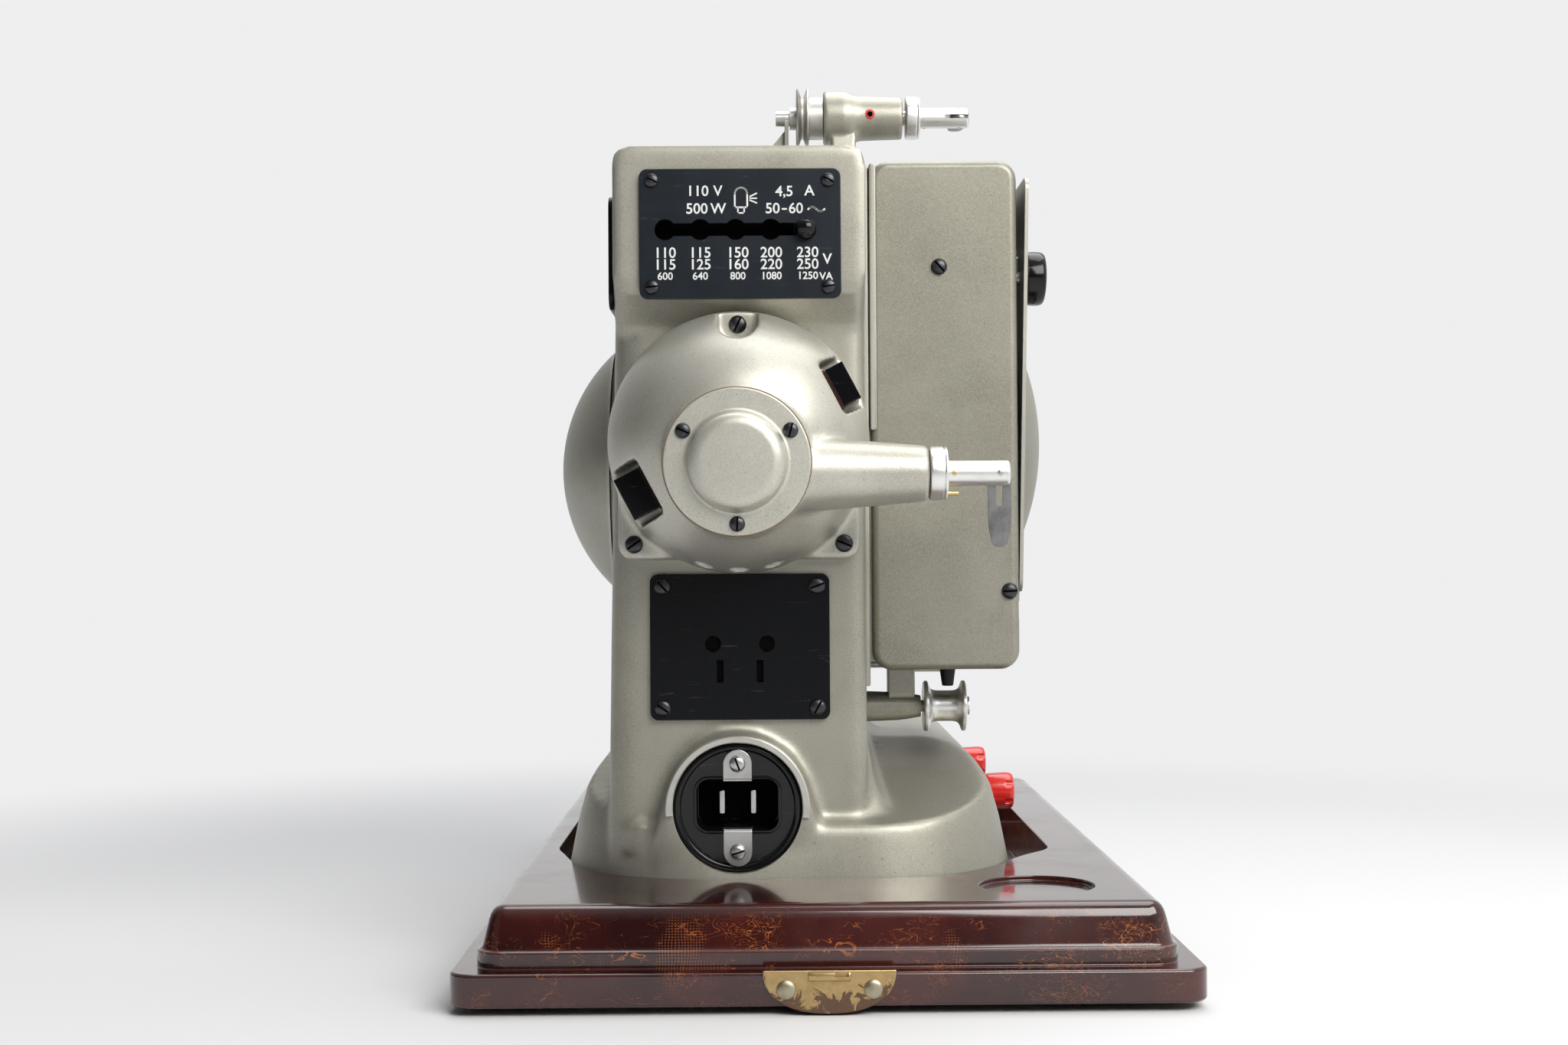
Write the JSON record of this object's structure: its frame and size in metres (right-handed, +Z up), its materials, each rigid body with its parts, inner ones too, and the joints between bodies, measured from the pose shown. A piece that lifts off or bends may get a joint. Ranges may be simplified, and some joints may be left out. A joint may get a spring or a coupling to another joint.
{
  "type": "small-gauge movie projector",
  "caption": "Small-gauge film projector on a moulded case base: motor dome with take-up arm, ajar lamphouse, lens gate, folding feed arm, voltage selector and mains inlet.",
  "frame": {"origin": "centre of the base at the height of the table it stands on", "axes": "+Z up, +Y in the direction of projection (away from the picture's viewer), +X to the operator's film side (the viewer's right)"},
  "size_m": [0.224, 0.3648, 0.3188],
  "materials": {
    "bakelite_base": "gloss",
    "pad_rubber": "matt",
    "steel": "satin",
    "blued_steel": "satin",
    "brass": "satin",
    "hammertone": "hammered satin",
    "hammertone_dark": "hammered satin",
    "hammertone_light": "hammered satin",
    "black_plastic": "satin",
    "black_gloss": "gloss",
    "red_plastic": "gloss",
    "bright_metal": "satin",
    "cast_metal": "matt",
    "mirror": "polished",
    "glass": "polished",
    "iron": "varnished",
    "black_metal": "satin"
  },
  "bodies": {
    "projector": {"base_board": "bakelite_base", "base_pads": "pad_rubber", "base_screws": "steel", "rear_catch_plate": "brass", "front_catch_plate": "brass", "catch_rivets": "brass", "main_casting": "hammertone", "bottom_plate": "black_metal", "side_plate": "black_plastic", "left_cover": "hammertone", "motor_dome": "hammertone_light", "dome_screws": "blued_steel", "brush_caps": "black_gloss", "gearbox_cover": "hammertone_light", "gearbox_screws": "blued_steel", "voltage_plate": "black_plastic", "voltage_screws": "blued_steel", "socket_plate": "black_plastic", "socket_screws": "blued_steel", "socket_sleeves": "brass", "inlet_body": "black_gloss", "inlet_pins": "bright_metal", "inlet_tabs": "steel", "inlet_screws": "steel", "lamphouse": "hammertone_dark", "lamphouse_screws": "blued_steel", "lamp_holder": "steel", "lamp_cap": "brass", "lamp_bulb": "glass", "reflector": "mirror", "condenser": "glass", "gate_housing": "hammertone", "roller_bracket": "hammertone", "arm_bracket": "hammertone", "motor_stator": "iron", "shoe_pins": "steel", "bearing_bridge": "cast_metal", "control_switches": "black_plastic"},
    "motor_rotor": {"motor_shaft": "steel", "cooling_fan": "cast_metal"},
    "shutter_disc": {"shutter": "black_metal"},
    "upper_film_sprocket": {"upper_sprocket": "bright_metal"},
    "lower_film_sprocket": {"lower_sprocket": "bright_metal"},
    "takeup": {"takeup_spindle": "bright_metal"},
    "takeup_catch": {"takeup_latch": "steel"},
    "arm": {"feed_arm": "hammertone_dark"},
    "feed": {"feed_spindle": "bright_metal", "feed_pulley": "cast_metal"},
    "feed_catch": {"feed_latch": "steel"},
    "roller": {"guide_roller": "bright_metal"},
    "door": {"lamphouse_door": "hammertone_dark"},
    "door_button": {"door_knob": "black_gloss"},
    "gate": {"lens_holder": "hammertone"},
    "lens": {"lens_barrel": "black_metal", "lens_glass": "glass"},
    "selector": {"voltage_selector": "black_gloss"},
    "motor_control": {"motor_knob": "red_plastic"},
    "lamp_control": {"lamp_knob": "red_plastic"},
    "upper_film_shoe": {"upper_shoe": "cast_metal"},
    "lower_film_shoe": {"lower_shoe": "cast_metal"}
  },
  "joints": [
    {"name": "motor_spin", "type": "hinge", "parent": "projector", "child": "motor_rotor", "pos_m": [-0.0265, 0, 0.171], "axis": [0, 1, 0], "continuous": true},
    {"name": "shutter_spin", "type": "hinge", "parent": "projector", "child": "shutter_disc", "pos_m": [0.008, 0, 0.171], "axis": [0, 1, 0], "continuous": true},
    {"name": "upper_sprocket_spin", "type": "hinge", "parent": "projector", "child": "upper_film_sprocket", "pos_m": [0.04, 0.004, 0.235], "axis": [1, 0, 0], "continuous": true},
    {"name": "lower_sprocket_spin", "type": "hinge", "parent": "projector", "child": "lower_film_sprocket", "pos_m": [0.04, 0.004, 0.107], "axis": [1, 0, 0], "continuous": true},
    {"name": "takeup_spin", "type": "hinge", "parent": "projector", "child": "takeup", "pos_m": [0.04, -0.1424, 0.1595], "axis": [1, 0, 0], "continuous": true},
    {"name": "takeup_latch_fold", "type": "hinge", "parent": "takeup", "child": "takeup_catch", "pos_m": [0.055, -0.1424, 0.1595], "axis": [0, -1, 0], "range_deg": [0, 90]},
    {"name": "feed_arm_fold", "type": "hinge", "parent": "projector", "child": "arm", "pos_m": [0.013, 0.026, 0.238], "axis": [-1, 0, 0], "range_deg": [0, 50]},
    {"name": "feed_spin", "type": "hinge", "parent": "arm", "child": "feed", "pos_m": [0.04, 0.033, 0.307], "axis": [1, 0, 0], "continuous": true},
    {"name": "feed_latch_fold", "type": "hinge", "parent": "feed", "child": "feed_catch", "pos_m": [0.0599, 0.033, 0.307], "axis": [0, 0, -1], "range_deg": [0, 90]},
    {"name": "guide_roller_spin", "type": "hinge", "parent": "projector", "child": "roller", "pos_m": [0.044, -0.06, 0.081], "axis": [1, 0, 0], "continuous": true},
    {"name": "door_swing", "type": "hinge", "parent": "projector", "child": "door", "pos_m": [0.064, -0.0495, 0.1217], "axis": [0, 1, 0], "range_deg": [-1.3, 95]},
    {"name": "door_knob_turn", "type": "hinge", "parent": "door", "child": "door_button", "pos_m": [0.07143, -0.075, 0.22886], "axis": [0.9997, 0, -0.0227], "range_deg": [0, 90]},
    {"name": "gate_swing", "type": "hinge", "parent": "projector", "child": "gate", "pos_m": [0.019, 0.0185, 0.171], "axis": [0, 0, 1], "range_deg": [0, 90]},
    {"name": "focus_slide", "type": "slide", "parent": "gate", "child": "lens", "axis": [0, 1, 0], "range_m": [0, 0.01]},
    {"name": "selector_slide", "type": "slide", "parent": "projector", "child": "selector", "axis": [-1, 0, 0], "range_m": [0, 0.0454]},
    {"name": "motor_knob_turn", "type": "hinge", "parent": "projector", "child": "motor_control", "pos_m": [0.066, -0.02, 0.0465], "axis": [1, 0, 0], "range_deg": [0, 90]},
    {"name": "lamp_knob_turn", "type": "hinge", "parent": "projector", "child": "lamp_control", "pos_m": [0.066, 0.08, 0.0465], "axis": [1, 0, 0], "range_deg": [0, 270]},
    {"name": "upper_shoe_swing", "type": "hinge", "parent": "projector", "child": "upper_film_shoe", "pos_m": [0.044, 0.01, 0.25], "axis": [1, 0, 0], "range_deg": [0, 40]},
    {"name": "lower_shoe_swing", "type": "hinge", "parent": "projector", "child": "lower_film_shoe", "pos_m": [0.044, 0.01, 0.092], "axis": [-1, 0, 0], "range_deg": [0, 40]}
  ],
  "couplings": [
    {"joint": "shutter_spin", "follows": "motor_spin", "ratio": -0.33333},
    {"joint": "upper_sprocket_spin", "follows": "motor_spin", "ratio": -0.027778},
    {"joint": "lower_sprocket_spin", "follows": "motor_spin", "ratio": -0.027778},
    {"joint": "takeup_spin", "follows": "motor_spin", "ratio": 0.0625}
  ]
}
